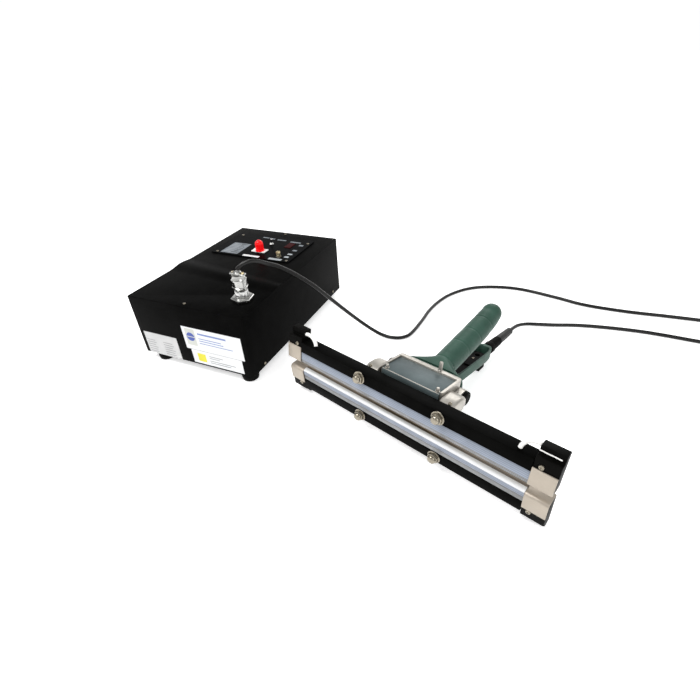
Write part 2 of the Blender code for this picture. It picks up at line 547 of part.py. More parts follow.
def cord():
    end = (TOOL_AT[0] + BOOT_END * math.sin(math.radians(-TOOL_YAW)),
           TOOL_AT[1] + BOOT_END * math.cos(math.radians(TOOL_YAW)), BOOT_W)
    look = ((0.016, 0.016, 0.018), 0.0, 0.45)
    tube("cord_lead", CASE, look, smooth_path(LEAD, 15.5), CORD_R)
    tube("cord_tail", CASE, look, smooth_path(TAIL + [end], 14), CORD_R)
    loop = [(COIL_IN, 2.4), (COIL_IN + 2.2, 0.2), (COIL_OUT - 2.2, 0.2), (COIL_OUT, 2.4),
            (COIL_OUT, COIL_H - 2.4), (COIL_OUT - 2.2, COIL_H), (COIL_IN + 2.2, COIL_H), (COIL_IN, COIL_H - 2.4)]
    piece("cord_coil", CASE, look, [sleeve(loop, 32, (*COIL_AT, 0))])


def main():
    for obj in list(bpy.data.objects):
        bpy.data.objects.remove(obj)
    control_case()
    control_panel()
    connector()
    inside_and_rear()
    upper_jaw()
    lower_jaw()
    shaft_parts()
    lever()
    grip()
    head_top()
    lower_arms()
    cord()


main()
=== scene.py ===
"""Impulse heat sealing tongs with their control box: the look of each piece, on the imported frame."""

import math

import bmesh
import bpy
from mathutils import Matrix, Vector


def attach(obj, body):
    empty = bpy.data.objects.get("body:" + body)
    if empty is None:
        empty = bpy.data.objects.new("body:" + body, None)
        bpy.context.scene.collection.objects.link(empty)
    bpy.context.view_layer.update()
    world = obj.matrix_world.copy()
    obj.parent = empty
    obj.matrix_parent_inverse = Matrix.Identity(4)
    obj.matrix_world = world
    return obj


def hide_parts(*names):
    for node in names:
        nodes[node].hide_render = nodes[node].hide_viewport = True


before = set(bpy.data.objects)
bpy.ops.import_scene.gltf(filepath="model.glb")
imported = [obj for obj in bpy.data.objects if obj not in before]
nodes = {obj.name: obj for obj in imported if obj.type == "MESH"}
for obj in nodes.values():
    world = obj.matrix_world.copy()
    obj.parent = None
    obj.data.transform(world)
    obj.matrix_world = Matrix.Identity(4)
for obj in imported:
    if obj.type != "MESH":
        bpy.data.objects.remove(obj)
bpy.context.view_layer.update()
MM = 0.001


# ---------------------------------------------------------------- frames, as in the solids

def turned(degrees, axis):
    return Matrix.Rotation(math.radians(degrees), 4, axis)


def shift(x, y, z):
    return Matrix.Translation((x * MM, y * MM, z * MM))


TOOL_X, TOOL_Y, TOOL_TURN = 508.2, -52.6, 18.08      # where the tongs lie beside the box, turned clockwise
CASE = shift(-358.685, -119.829, 0)
TOOL = CASE @ shift(TOOL_X, TOOL_Y, 0) @ turned(-TOOL_TURN, "Z")
UPPER = TOOL @ shift(0, 0, 68.5) @ turned(-8.5, "X")
LOWER = TOOL @ shift(0, 1.5, 53.4) @ turned(2.5, "X")
LEVER = TOOL @ shift(0, 150, 50) @ turned(-7.7, "X")
HEAD = TOOL @ shift(0, 36, 106) @ turned(-9.09, "X")
PIVOT_V, PIVOT_W = 76.0, 77.0      # the grip's hinge, in the tongs' frame
BORE_R = 5.06                      # its bore
CORD_R = 3.4                       # the cable
W, D, TOP, FOOT = 240.0, 347.6, 132.0, 14.5          # the box's width, depth, top and the height of its feet
JAW_HALF = 181.8                   # half the length of a jaw between its end blocks
BOLT_U, BOLT_W = 63.6, 26.8        # the bolts, along a jaw and out from its sealing face


# ---------------------------------------------------------------- camera

def camera():
    az, el, roll = (math.radians(a) for a in (25.77, 35.10, -3.51))
    back = Vector((math.sin(az) * math.cos(el), -math.cos(az) * math.cos(el), math.sin(el)))
    right = (-back).cross(Vector((0, 0, 1))).normalized()
    up = right.cross(-back)
    x = math.cos(roll) * right + math.sin(roll) * up
    y = math.cos(roll) * up - math.sin(roll) * right
    data = bpy.data.cameras.new("camera")
    data.sensor_width = 36
    data.lens = 23.006
    data.clip_start = 0.01
    obj = bpy.data.objects.new("camera", data)
    turn = Matrix((x, y, back)).transposed().to_4x4()
    obj.matrix_world = CASE @ Matrix.Translation((0.6506, -0.4689, 0.4831)) @ turn
    bpy.context.scene.collection.objects.link(obj)
    bpy.context.scene.camera = obj


# ---------------------------------------------------------------- materials

def surface(name, colour, rough, metal=0.0, grain=(900, 0.05), mottle=0.12, streak=None, coat=0.0,
            wear=0.0, spread=0.08, spec=0.5, ribs=None, glow=0.0):
    """Colour with slow mottling, a fine grain in bump and roughness, and optional brushing, ribs or edge wear."""
    mat = bpy.data.materials.new(name)
    mat.use_nodes = True
    tree = mat.node_tree
    node, link = tree.nodes.new, tree.links.new
    shader = tree.nodes["Principled BSDF"]
    for socket, value in (("Metallic", metal), ("Coat Weight", coat), ("Coat Roughness", 0.15),
                          ("Specular IOR Level", spec), ("Emission Strength", glow),
                          ("Emission Color", (*colour, 1))):
        shader.inputs[socket].default_value = value
    place = node("ShaderNodeTexCoord")
    fit = node("ShaderNodeMapping")
    if streak:
        fit.inputs["Rotation"].default_value = (0, 0, math.radians(streak[3]))
        fit.inputs["Scale"].default_value = streak[:3]
    link(place.outputs["Object"], fit.inputs["Vector"])
    slow = node("ShaderNodeTexNoise")
    slow.inputs["Scale"].default_value = 45
    slow.inputs["Detail"].default_value = 4
    link(place.outputs["Object"], slow.inputs["Vector"])
    fine = node("ShaderNodeTexNoise")
    fine.inputs["Scale"].default_value = grain[0]
    fine.inputs["Detail"].default_value = 3
    link(fit.outputs["Vector"], fine.inputs["Vector"])
    ramp = node("ShaderNodeValToRGB")
    ramp.color_ramp.elements[0].position = 0.3
    ramp.color_ramp.elements[0].color = (*[c * (1 - mottle) for c in colour], 1)
    ramp.color_ramp.elements[1].position = 0.7
    ramp.color_ramp.elements[1].color = (*[min(1, c * (1 + mottle) + 0.001) for c in colour], 1)
    link(slow.outputs["Fac"], ramp.inputs["Fac"])
    paint = ramp.outputs["Color"]

    def mixed(factor, under, over):
        mix = node("ShaderNodeMix")
        mix.data_type = "RGBA"
        mix.inputs["B"].default_value = (*over, 1)
        link(factor, mix.inputs["Factor"])
        link(under, mix.inputs["A"])
        return mix.outputs["Result"]

    if ribs:
        wave = node("ShaderNodeTexWave")
        wave.bands_direction = "Z"
        wave.inputs["Scale"].default_value = ribs[0]
        wave.inputs["Distortion"].default_value = 0.6
        wave.inputs["Detail"].default_value = 2
        link(place.outputs["Object"], wave.inputs["Vector"])
        part = node("ShaderNodeMath")
        part.operation = "MULTIPLY"
        part.inputs[1].default_value = ribs[1]
        link(wave.outputs["Fac"], part.inputs[0])
        paint = mixed(part.outputs["Value"], paint, ribs[2])
    if wear:
        edge = node("ShaderNodeNewGeometry")
        sharp = node("ShaderNodeValToRGB")
        sharp.color_ramp.elements[0].position = 0.53
        sharp.color_ramp.elements[1].position = 0.6
        link(edge.outputs["Pointiness"], sharp.inputs["Fac"])
        worn = node("ShaderNodeMath")
        worn.operation = "MULTIPLY"
        worn.inputs[1].default_value = wear
        link(sharp.outputs["Color"], worn.inputs[0])
        paint = mixed(worn.outputs["Value"], paint, [min(1, c * 1.6 + 0.03) for c in colour])
    link(paint, shader.inputs["Base Color"])
    span = node("ShaderNodeMapRange")
    span.inputs["From Min"].default_value = 0.3
    span.inputs["From Max"].default_value = 0.7
    span.inputs["To Min"].default_value = max(0.02, rough - spread)
    span.inputs["To Max"].default_value = min(1, rough + spread)
    link(fine.outputs["Fac"], span.inputs["Value"])
    link(span.outputs["Result"], shader.inputs["Roughness"])
    bump = node("ShaderNodeBump")
    bump.inputs["Strength"].default_value = grain[1]
    bump.inputs["Distance"].default_value = 0.0004
    link(fine.outputs["Fac"], bump.inputs["Height"])
    link(bump.outputs["Normal"], shader.inputs["Normal"])
    return mat


def along_jaw(x, y, z):
    """Stretch for a grain that runs along the jaws."""
    return (x, y, z, TOOL_TURN)


M = {
    "case": surface("case_paint", (0.0011, 0.0011, 0.0010), 0.42, grain=(1500, 0.3), mottle=0.25, wear=0.06,
                    spec=0.011),
    "panel": surface("panel_paint", (0.0010, 0.0012, 0.0015), 0.3, grain=(1200, 0.15), mottle=0.2, spec=0.011),
    "bar": surface("anodised_bar", (0.0009, 0.0009, 0.0007), 0.4, grain=(700, 0.12),
                   streak=along_jaw(0.03, 1, 1), mottle=0.2, wear=0.06, spec=0.012),
    "alu": surface("extruded_aluminium", (0.50, 0.52, 0.54), 0.34, 1.0, grain=(500, 0.15),
                   streak=along_jaw(0.02, 1, 1), mottle=0.06),
    "ribbed": surface("ribbed_aluminium", (0.30, 0.305, 0.31), 0.42, 0.6, grain=(500, 0.12),
                      streak=along_jaw(0.02, 1, 1), mottle=0.08, ribs=(175, 0.6, (0.13, 0.13, 0.13))),
    "cast": surface("cast_silver", (0.38, 0.36, 0.325), 0.36, 0.85, grain=(900, 0.3), mottle=0.1, wear=0.2),
    "green": surface("green_enamel", (0.034, 0.078, 0.058), 0.42, 0.05, grain=(1300, 0.3), mottle=0.16,
                     wear=0.2, spec=0.16),
    "plate": surface("grey_plate", (0.082, 0.106, 0.110), 0.42, 0.3, grain=(900, 0.1),
                     streak=along_jaw(0.04, 1, 1), mottle=0.12, spec=0.25),
    "nickel": surface("satin_nickel", (0.30, 0.27, 0.215), 0.28, 1.0, grain=(700, 0.15), mottle=0.09, wear=0.2),
    "clip": surface("clip_nickel", (0.37, 0.325, 0.27), 0.45, 0.6, grain=(800, 0.2),
                    streak=along_jaw(0.05, 1, 1), mottle=0.07, wear=0.3),
    "shell": surface("connector_nickel", (0.45, 0.45, 0.435), 0.2, 1.0, grain=(900, 0.08), mottle=0.08),
    "chrome": surface("bright_chrome", (0.62, 0.62, 0.61), 0.16, 1.0, grain=(900, 0.04), mottle=0.05, spread=0.04),
    "brass": surface("turned_brass", (0.66, 0.55, 0.33), 0.3, 1.0, grain=(1500, 0.1), mottle=0.1),
    "bakelite": surface("black_bakelite", (0.0018, 0.0017, 0.0014), 0.45, grain=(1100, 0.2), mottle=0.2, wear=0.12,
                        spec=0.025),
    "rubber": surface("black_rubber", (0.0022, 0.0022, 0.0021), 0.6, grain=(1600, 0.3), mottle=0.2, spec=0.04),
    "sleeve": surface("grey_sleeve", (0.010, 0.010, 0.0095), 0.42, grain=(900, 0.15), mottle=0.2, spec=0.25),
    "cord": surface("cord_jacket", (0.0042, 0.0041, 0.0037), 0.3, grain=(1100, 0.1), mottle=0.2, spec=0.3),
    "pad": surface("silicone_pad", (0.80, 0.81, 0.82), 0.42, grain=(900, 0.08), mottle=0.03),
    "silicone": surface("white_silicone", (0.84, 0.83, 0.80), 0.5, grain=(900, 0.15), mottle=0.04),
    "film": surface("lilac_film", (0.27, 0.305, 0.375), 0.36, 0.3, grain=(420, 0.2),
                    streak=along_jaw(0.25, 1, 1), mottle=0.1, ribs=(120, 0.7, (0.15, 0.17, 0.20))),
    "tape": surface("brown_tape", (0.16, 0.125, 0.085), 0.42, grain=(2200, 0.35), mottle=0.2),
    "white": surface("white_plastic", (0.80, 0.80, 0.78), 0.4, grain=(900, 0.08), mottle=0.03),
    "paper": surface("label_white", (0.70, 0.71, 0.72), 0.45, grain=(1800, 0.05), mottle=0.03),
    "foil": surface("label_silver", (0.50, 0.50, 0.50), 0.4, 0.2, grain=(1500, 0.08), mottle=0.06),
    "patch": surface("label_patch", (0.52, 0.53, 0.49), 0.45, grain=(1800, 0.05), mottle=0.05),
    "ink": surface("ink_grey", (0.24, 0.24, 0.25), 0.5, grain=(1800, 0.03), mottle=0.15),
    "blue": surface("ink_blue", (0.035, 0.07, 0.33), 0.45, grain=(1800, 0.03), mottle=0.1),
    "light_blue": surface("ink_light_blue", (0.16, 0.22, 0.45), 0.45, grain=(1800, 0.03), mottle=0.1),
    "yellow": surface("ink_yellow", (0.66, 0.60, 0.01), 0.45, grain=(1800, 0.03), mottle=0.05),
    "legend": surface("legend_grey", (0.16, 0.18, 0.20), 0.5, grain=(1800, 0.03), mottle=0.25),
    "pale": surface("legend_pale", (0.34, 0.37, 0.39), 0.5, grain=(1800, 0.03), mottle=0.1),
    "board": surface("board_green", (0.02, 0.12, 0.05), 0.4, grain=(900, 0.1)),
    "core": surface("laminated_core", (0.12, 0.12, 0.13), 0.45, 0.6, grain=(300, 0.3), streak=(1, 1, 9, 0)),
    "red": surface("red_lens", (0.78, 0.004, 0.006), 0.2, grain=(600, 0.03), mottle=0.08, spec=0.25, spread=0.03,
                   glow=0.4),
    "display": surface("display_red", (0.022, 0.0006, 0.001), 0.12, grain=(600, 0.03), mottle=0.3, spec=0.02,
                       spread=0.03, glow=0.35),
}


# ---------------------------------------------------------------- shapes, in millimetres of a frame

def box(x0, x1, y0, y1, z0, z1):
    verts = [(x, y, z) for x in (x0, x1) for y in (y0, y1) for z in (z0, z1)]
    faces = [(0, 1, 3, 2), (4, 6, 7, 5), (0, 4, 5, 1), (2, 3, 7, 6), (0, 2, 6, 4), (1, 5, 7, 3)]
    return verts, faces


def loft(rings):
    count = len(rings[0])
    verts = [point for ring in rings for point in ring]
    faces = [tuple(range(count)), tuple(range(len(verts) - count, len(verts)))]
    for k in range(len(rings) - 1):
        for i in range(count):
            j = (i + 1) % count
            a = k * count
            faces.append((a + i, a + j, a + count + j, a + count + i))
    return verts, faces


def across(points, x0, x1):
    return loft([[(x, y, z) for y, z in points] for x in (x0, x1)])


def upright(points, z0, z1):
    return loft([[(x, y, z) for x, y in points] for z in (z0, z1)])


def spun(profile, count=40, at=(0, 0, 0), axis="Z"):
    rings = []
    for r, h in profile:
        ring = []
        for i in range(count):
            a = 2 * math.pi * (i + 0.5) / count
            c, s = r * math.cos(a), r * math.sin(a)
            p = {"Z": (c, s, h), "X": (h, c, s), "Y": (c, h, s)}[axis]
            ring.append(tuple(p[k] + at[k] for k in range(3)))
        rings.append(ring)
    return loft(rings)


def sleeve(profile, count=48, at=(0, 0, 0), teeth=0, depth=0.0):
    """Closed ring turned round Z; teeth cut into its outer points give a knurl."""
    verts, faces = [], []
    n = len(profile)
    outer = max(r for r, _ in profile)
    for i in range(count):
        a = 2 * math.pi * i / count
        for r, h in profile:
            cut = depth * (i % 2) if teeth and r > outer - 0.9 else 0
            verts.append(((r - cut) * math.cos(a) + at[0], (r - cut) * math.sin(a) + at[1], h + at[2]))
    for i in range(count):
        for k in range(n):
            a, b = i * n, ((i + 1) % count) * n
            faces.append((a + k, a + (k + 1) % n, b + (k + 1) % n, b + k))
    return verts, faces


def rounded(x0, x1, y0, y1, r, steps=6):
    points = []
    for cx, cy, start in ((x1 - r, y1 - r, 0), (x0 + r, y1 - r, 90), (x0 + r, y0 + r, 180),
                          (x1 - r, y0 + r, 270)):
        for k in range(steps + 1):
            a = math.radians(start + 90 * k / steps)
            points.append((cx + r * math.cos(a), cy + r * math.sin(a)))
    return points


def oval(half_u, half_h, square, count=56):
    points = []
    for i in range(count):
        a = 2 * math.pi * (i + 0.5) / count
        c, s = math.cos(a), math.sin(a)
        points.append((half_u * math.copysign(abs(c) ** (2 / square), c),
                       half_h * math.copysign(abs(s) ** (2 / square), s)))
    return points


def carried(shape, source, target):
    move = target.inverted() @ source
    return [tuple((move @ (Vector(v) * MM)) / MM) for v in shape[0]], shape[1]


def raw_object(name, place, shape):
    mesh = bpy.data.meshes.new(name)
    mesh.from_pydata([place @ (Vector(v) * MM) for v in shape[0]], [], shape[1])
    work = bmesh.new()
    work.from_mesh(mesh)
    bmesh.ops.recalc_face_normals(work, faces=work.faces)
    work.to_mesh(mesh)
    work.free()
    obj = bpy.data.objects.new(name, mesh)
    bpy.context.scene.collection.objects.link(obj)
    return obj


def rounding(obj, width, steps, limit=32):
    modifier = obj.modifiers.new("edges", "BEVEL")
    modifier.width = width * MM
    modifier.segments = steps
    modifier.limit_method = "ANGLE"
    modifier.angle_limit = math.radians(limit)


def add(name, place, shape, look, body="base", first=0.0, bevel=0.0, steps=2, cuts=(), joins=(),
        smooth=35, stands_for=()):
    """A piece: built in place, joined and cut, its edges rounded before or after that, then set on its body."""
    obj = raw_object(name, place, shape)
    helpers = []
    if first:
        rounding(obj, first, 3)
    for kind, others in (("UNION", joins), ("DIFFERENCE", cuts)):
        for other in others:
            helper = raw_object("helper", place, other)
            helpers.append(helper)
            modifier = obj.modifiers.new(kind, "BOOLEAN")
            modifier.operation = kind
            modifier.solver = "EXACT"
            modifier.object = helper
    if bevel:
        rounding(obj, bevel, steps)
    if obj.modifiers:
        graph = bpy.context.evaluated_depsgraph_get()
        made = bpy.data.meshes.new_from_object(obj.evaluated_get(graph))
        obj.modifiers.clear()
        obj.data = made
    for helper in helpers:
        bpy.data.objects.remove(helper)
    obj.data.shade_smooth()
    obj.data.set_sharp_from_angle(angle=math.radians(smooth))
    obj.data.materials.clear()
    obj.data.materials.append(M[look])
    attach(obj, body)
    if stands_for:
        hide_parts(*stands_for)
    return obj


def screw(name, place, at, radius, height, look="nickel", axis="Z", body="base", slotted=True):
    """Low domed screw head with a cross recess; at is the centre of its seat."""
    profile = [(radius, -0.3), (radius, height * 0.35), (radius * 0.86, height * 0.75), (radius * 0.5, height),
               (radius * 0.08, height * 1.03)]
    head = spun(profile, 24, (0, 0, 0), "Z")
    a, b = radius * 0.55, radius * 0.14
    cross = [box(-a, a, -b, b, height * 0.45, height * 2), box(-b, b, -a, a, height * 0.45, height * 2)]
    lean = {"Z": Matrix(), "-Y": turned(90, "X"), "Y": turned(-90, "X"), "X": turned(90, "Y")}[axis]
    return add(name, place @ shift(*at) @ lean, head, look, body, cuts=cross if slotted else ())


def even(points, spacing):
    """Even points along a smooth curve through the given points."""
    pts = [Vector(p) for p in points]
    ends = [2 * pts[0] - pts[1]] + pts + [2 * pts[-1] - pts[-2]]
    dense = []
    for k in range(1, len(ends) - 2):
        p0, p1, p2, p3 = ends[k - 1:k + 3]
        t0, t1 = 0.0, (p1 - p0).length ** 0.5
        t2 = t1 + (p2 - p1).length ** 0.5
        t3 = t2 + (p3 - p2).length ** 0.5
        for i in range(24):
            t = t1 + (t2 - t1) * i / 24
            a1 = p0 * ((t1 - t) / (t1 - t0)) + p1 * ((t - t0) / (t1 - t0))
            a2 = p1 * ((t2 - t) / (t2 - t1)) + p2 * ((t - t1) / (t2 - t1))
            a3 = p2 * ((t3 - t) / (t3 - t2)) + p3 * ((t - t2) / (t3 - t2))
            b1 = a1 * ((t2 - t) / (t2 - t0)) + a2 * ((t - t0) / (t2 - t0))
            b2 = a2 * ((t3 - t) / (t3 - t1)) + a3 * ((t - t1) / (t3 - t1))
            dense.append(b1 * ((t2 - t) / (t2 - t1)) + b2 * ((t - t1) / (t2 - t1)))
    dense.append(pts[-1])
    total = sum((b - a).length for a, b in zip(dense, dense[1:]))
    count = max(2, round(total / spacing))
    out, walked, k = [dense[0]], 0.0, 0
    for i in range(1, count):
        goal = total * i / count
        while walked + (dense[k + 1] - dense[k]).length < goal:
            walked += (dense[k + 1] - dense[k]).length
            k += 1
        out.append(dense[k].lerp(dense[k + 1], (goal - walked) / (dense[k + 1] - dense[k]).length))
    return out + [dense[-1]], total


def tube(name, place, points, radius, look, body="base", sides=6, stands_for=()):
    data = bpy.data.curves.new(name, "CURVE")
    data.dimensions = "3D"
    data.bevel_depth = radius * MM
    data.bevel_resolution = sides
    data.use_fill_caps = True
    spline = data.splines.new("POLY")
    spline.points.add(len(points) - 1)
    for target, p in zip(spline.points, points):
        target.co = (*(place @ (Vector(p) * MM)), 1)
    spline.use_smooth = True
    data.materials.append(M[look])
    obj = bpy.data.objects.new(name, data)
    bpy.context.scene.collection.objects.link(obj)
    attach(obj, body)
    if stands_for:
        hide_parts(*stands_for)
    return obj


# ---------------------------------------------------------------- cable

LEAD = [(206, 54.8, 186.3), (211.4, 59.3, 191.7), (217.6, 64.6, 195.1), (224.4, 70.2, 196.3),
        (231.1, 75.9, 195.1), (236.2, 80.1, 192.6), (244.2, 87.2, 187.4),
        (253, 97, 181), (270, 115, 163), (291, 139, 133), (311, 163, 97), (330, 184, 64), (349, 200, 37),
        (368, 209, 18), (388, 211.6, 7), (404, 211.2, 3.8), (412, 211.1, 3.6), (428, 215.3, 3.6),
        (439.7, 227, 3.6), (444.4, 242, 3.6), (447.3, 262, 3.6), (450, 290, 3.6),
        (455, 347, 3.6), (474, 409, 3.6), (508, 454, 3.6), (548, 477, 3.6), (610, 488, 3.6),
        (693, 472, 3.6), (743, 458, 3.6), (820, 454.5, 3.6), (890, 459.5, 3.6),
        (940, 462.4, 3.6), (965, 462.9, 3.6), (987.2, 462.9, 3.6)]
TAIL = [(987.2, 379.1, 7.6), (975, 379.1, 5.2), (960, 379.4, 3.7), (930, 381, 3.6), (842, 384, 3.6),
        (745, 372, 3.6), (692, 356, 3.7), (665, 346.5, 5.2), (645.5, 335, 8.6), (632, 319.5, 12.4),
        (624.8, 303.6, 15.1)]
BOOT_END, BOOT_HEIGHT = 360.2, 16.4
BOOT_TIP = (TOOL_X + BOOT_END * math.sin(math.radians(TOOL_TURN)),
            TOOL_Y + BOOT_END * math.cos(math.radians(TOOL_TURN)), BOOT_HEIGHT)


def coil():
    """Three and a half turns, clockwise from the top: two rows of two."""
    points = []
    stops = ((0, 41.9, 3.6), (250, 41.9, 3.6), (330, 35.1, 3.6), (640, 35.1, 3.6), (720, 35.2, 10.4),
             (960, 35.2, 10.4), (1060, 41.8, 10.4), (1260, 41.9, 10.4))
    for k in range(0, 1260, 20):
        a, b = next((p, q) for p, q in zip(stops, stops[1:]) if p[0] <= k < q[0])
        t = (k - a[0]) / (b[0] - a[0])
        t = t * t * (3 - 2 * t)
        r, z = a[1] + (b[1] - a[1]) * t, a[2] + (b[2] - a[2]) * t
        angle = math.radians(90 - k)
        points.append((1012 + r * math.cos(angle), 421 + r * math.sin(angle), z))
    return points


def cable():
    route = LEAD + [(1000, 462.9, 3.6)] + coil() + [(1012, 379.1, 10.4), (1000, 379.1, 9.8)] + TAIL + [BOOT_TIP]
    points, total = even(route, 6)
    cord = tube("cable", CASE, points, CORD_R, "cord",
                stands_for=("cord_lead", "cord_coil", "cord_tail"))


camera()
cable()


# ---------------------------------------------------------------- control box

def crest(left, right):
    """The cover's long outline, with the soft fold across its top, for one side."""
    points = []
    for k in range(13):
        t = k / 12
        points.append((left + (right - left) * t, 2.9 * math.sin(math.pi * t) ** 2))
    return points


def shell(inset, bottom):
    rings = []
    for x, span in ((inset, (106, 170)), (W - inset, (88, 130))):
        top = TOP - inset
        rings.append([(x, inset, bottom), (x, inset, top)] + [(x, y, top + h) for y, h in crest(*span)]
                     + [(x, D - inset, top), (x, D - inset, bottom)])
    return loft(rings)


def control_box():
    window = box(32, 195, 214, 302, 126, 138)
    holes = [shell(1.5, -5), window, box(42, 70.5, D - 6, D + 6, 46, 67.5),
             spun([(6.3, -6), (6.3, 6)], 32, (105, D, 57), "Y"),
             spun([(12.5, TOP - 6), (12.5, TOP + 6)], 40, (206, 54.8, 0))]
    add("cover", CASE, shell(0, FOOT + 0.1), "case", first=1.0, cuts=holes, smooth=25,
        stands_for=("case_cover",))
    for name, x, y in (("front_left", 31, 15.8), ("front_right", 221, 15.8), ("rear_left", 35, 330),
                       ("rear_right", 205, 330)):
        add("foot_" + name + "_moulding", CASE,
            spun([(3, 3), (8, 3), (9.5, 0.1), (12.6, 0.1), (14.3, 1.6), (15.0, 6), (15.45, 13.6), (15.0, 14.4)], 48,
                 (x, y, 0)), "rubber", smooth=40, stands_for=("foot_" + name,))
    seats = [("cover_screw_top_front", (119, 10.5, TOP), "Z"), ("cover_screw_top_rear", (120.5, 338.5, TOP), "Z")]
    for y, z in ((36.6, 21), (313, 23)):
        seats.append((f"cover_screw_right_{round(y)}", (W, y, z), "X"))
    for name, at, axis in seats:
        screw(name, CASE, at, 2.6, 1.5, "nickel", axis)


def sticker(name, x0, x1, z0, z1, look, lift=0.0):
    """Flat label on the box's front face."""
    add(name, CASE, box(x0, x1, -0.12 - lift, 0.05 - lift, z0, z1), look)


def front_labels():
    sticker("label_left", 9, 85.5, 15.5, 61.5, "foil")
    rows = [(11, 0.42), (16, 0.55), (21, 0.3), (26, 0.6), (31, 0.45), (36, 0.5)]
    for k, (drop, span) in enumerate(rows):
        for half, (a, b) in enumerate(((12, 38), (50, 80))):
            sticker(f"label_left_row_{k}_{half}", a, a + (b - a) * (0.5 + span / 2), 57 - drop - 1.4, 57 - drop,
                    "ink", 0.1)
    sticker("label_main", 106, 229, 47, 92.5, "paper")
    sticker("label_main_patch", 112, 133, 56, 90, "patch", 0.1)
    disc = spun([(8.6, -0.3), (8.6, -0.1)], 40, (122.4, 0, 73.5), "Y")
    add("label_main_disc", CASE, disc, "blue", cuts=[box(112, 134, -1, 1, 72.6, 74.2)])
    for k, (x1, z, tall, look) in enumerate(((198, 82.5, 3.4, "light_blue"), (186, 73, 1.6, "light_blue"),
                                             (190, 68.5, 1.6, "light_blue"), (208, 63.5, 1.4, "light_blue"))):
        sticker(f"label_main_row_{k}", 139, x1, z - tall / 2, z + tall / 2, look, 0.1)
    sticker("label_low", 115, 222, 18.5, 47, "paper", 0.02)
    sticker("label_low_edge", 106, 229, 46.6, 47.2, "ink", 0.12)
    sticker("label_low_chip", 126.5, 144, 23.5, 40.5, "yellow", 0.12)
    for k, (x1, z) in enumerate(((181, 38.5), (174, 34.5), (206, 29), (196, 25))):
        sticker(f"label_low_row_{k}", 152, x1, z - 0.7, z + 0.7, "ink", 0.12)


def mark(name, x0, x1, y0, y1, look="legend", lift=0.0):
    """Printed mark on the panel."""
    add(name, CASE, box(x0, x1, y0, y1, 133.78, 133.9 + lift), look)


def control_panel():
    seat = 134.1
    mark("panel_label", 42, 83, 210, 262, "legend")
    for k in range(7):
        y = 216 + 6.6 * k
        mark(f"panel_label_row_{k}", 46, 62 + (k * 37) % 17, y, y + 1.5, "pale", 0.1)
        mark(f"panel_label_row_b{k}", 62 + (k * 23) % 6, 78, y + 0.8, y + 2.0, "panel", 0.1)
    mark("panel_strip", 98, 136, 206.5, 213.5, "paper")
    mark("timer_label", 158, 187, 206.6, 214.2, "pale")
    for k, (x0, x1, y) in enumerate(((86, 101, 304), (104, 117, 302), (124, 145, 300.5), (157, 182, 298))):
        mark(f"legend_rear_{k}", x0, x1, y - 2.2, y + 2.2, "legend")
    for k, y in enumerate((286, 259, 240, 226)):
        mark(f"legend_side_{k}", 184.5, 194, y - 3, y + 3, "legend" if k < 2 else "pale")
    for name, x, y in (("front_left", 34, 211), ("front_right", 198, 210.5), ("rear_left", 34, 303),
                       ("rear_right", 198, 299)):
        screw("panel_screw_" + name, CASE, (x, y, 133.8), 2.6, 1.5, "nickel")

    lx, ly = 123, 234.5
    add("lamp_frame", CASE, upright(rounded(105, 137, 228, 245, 2), seat, seat + 2), "white",
        cuts=[spun([(6.3, seat - 3), (6.3, seat + 6)], 40, (lx, ly, 0))], bevel=0.5, stands_for=("lamp_bezel",))
    foot = seat + 2.3
    dome = [(5.9, 118), (5.9, foot), (8.98, foot + 0.02), (8.98, foot + 1.6), (8.3, foot + 2.0), (8.2, foot + 13)]
    dome += [(8.2 * math.cos(math.radians(a)), foot + 13 + 8.8 * math.sin(math.radians(a)))
             for a in (12, 24, 36, 48, 60, 72, 82, 88)]
    add("lamp_lens", CASE, spun(dome, 48, (lx, ly, 0)), "red", smooth=40,
        stands_for=("lamp_dome",))

    tx, ty = 127, 272
    neck = [(3.2, 131.1)]
    for k in range(6):
        neck += [(3.2, seat + 0.7 * k), (2.9, seat + 0.7 * k + 0.35)]
    neck += [(3.2, seat + 4.2)]
    add("toggle_neck", CASE, spun(neck, 32, (tx, ty, 0)), "chrome",
        joins=[box(tx - 4.2, tx + 4.2, ty - 6.5, ty + 6.5, 116, 131.3),
               spun([(4.9, seat), (4.9, seat + 2)], 6, (tx, ty, 0))],
        cuts=[spun([(1.95, seat - 1), (1.95, seat + 2.8), (2.7, seat + 5)], 24, (tx, ty, 0))],
        stands_for=("toggle_bushing",))
    lean = CASE @ shift(tx, ty, seat + 2.5) @ turned(12, "Y")
    bat = [(0.5, -1.5), (1.3, -1.0), (1.5, 0), (1.1, 1.4), (1.05, 3), (1.15, 5.2), (1.6, 8), (1.8, 9.4),
           (1.6, 10.5), (1.0, 11.0), (0.2, 11.1)]
    add("toggle_bat", lean, spun(bat, 24), "chrome", "toggle", stands_for=("toggle_lever",))

    sx, sy = 175.2, 220.7
    stem = [(2.3, 118), (2.3, seat + 3.1), (4.0, seat + 3.12), (4.3, seat + 3.6), (4.3, seat + 10.9),
            (3.9, seat + 11.7), (3.2, seat + 11.9), (0.2, seat + 11.9)]
    add("timer_knob", CASE, spun(stem, 40, (sx, sy, 0)), "brass", "timer",
        cuts=[box(sx - 0.6, sx + 0.6, sy - 6, sy + 6, seat + 10.4, seat + 19)], stands_for=("timer_shaft",))
    add("timer_neck", CASE, spun([(3.4, 126), (3.4, seat + 2.8)], 32, (sx, sy, 0)), "nickel",
        joins=[spun([(8, 112), (8, 129.9)], 32, (sx, sy, 0)),
               spun([(5.6, seat), (5.6, seat + 2.2)], 6, (sx, sy, 0))],
        cuts=[spun([(2.5, 117), (2.5, seat + 9)], 32, (sx, sy, 0))], stands_for=("timer_bushing",))


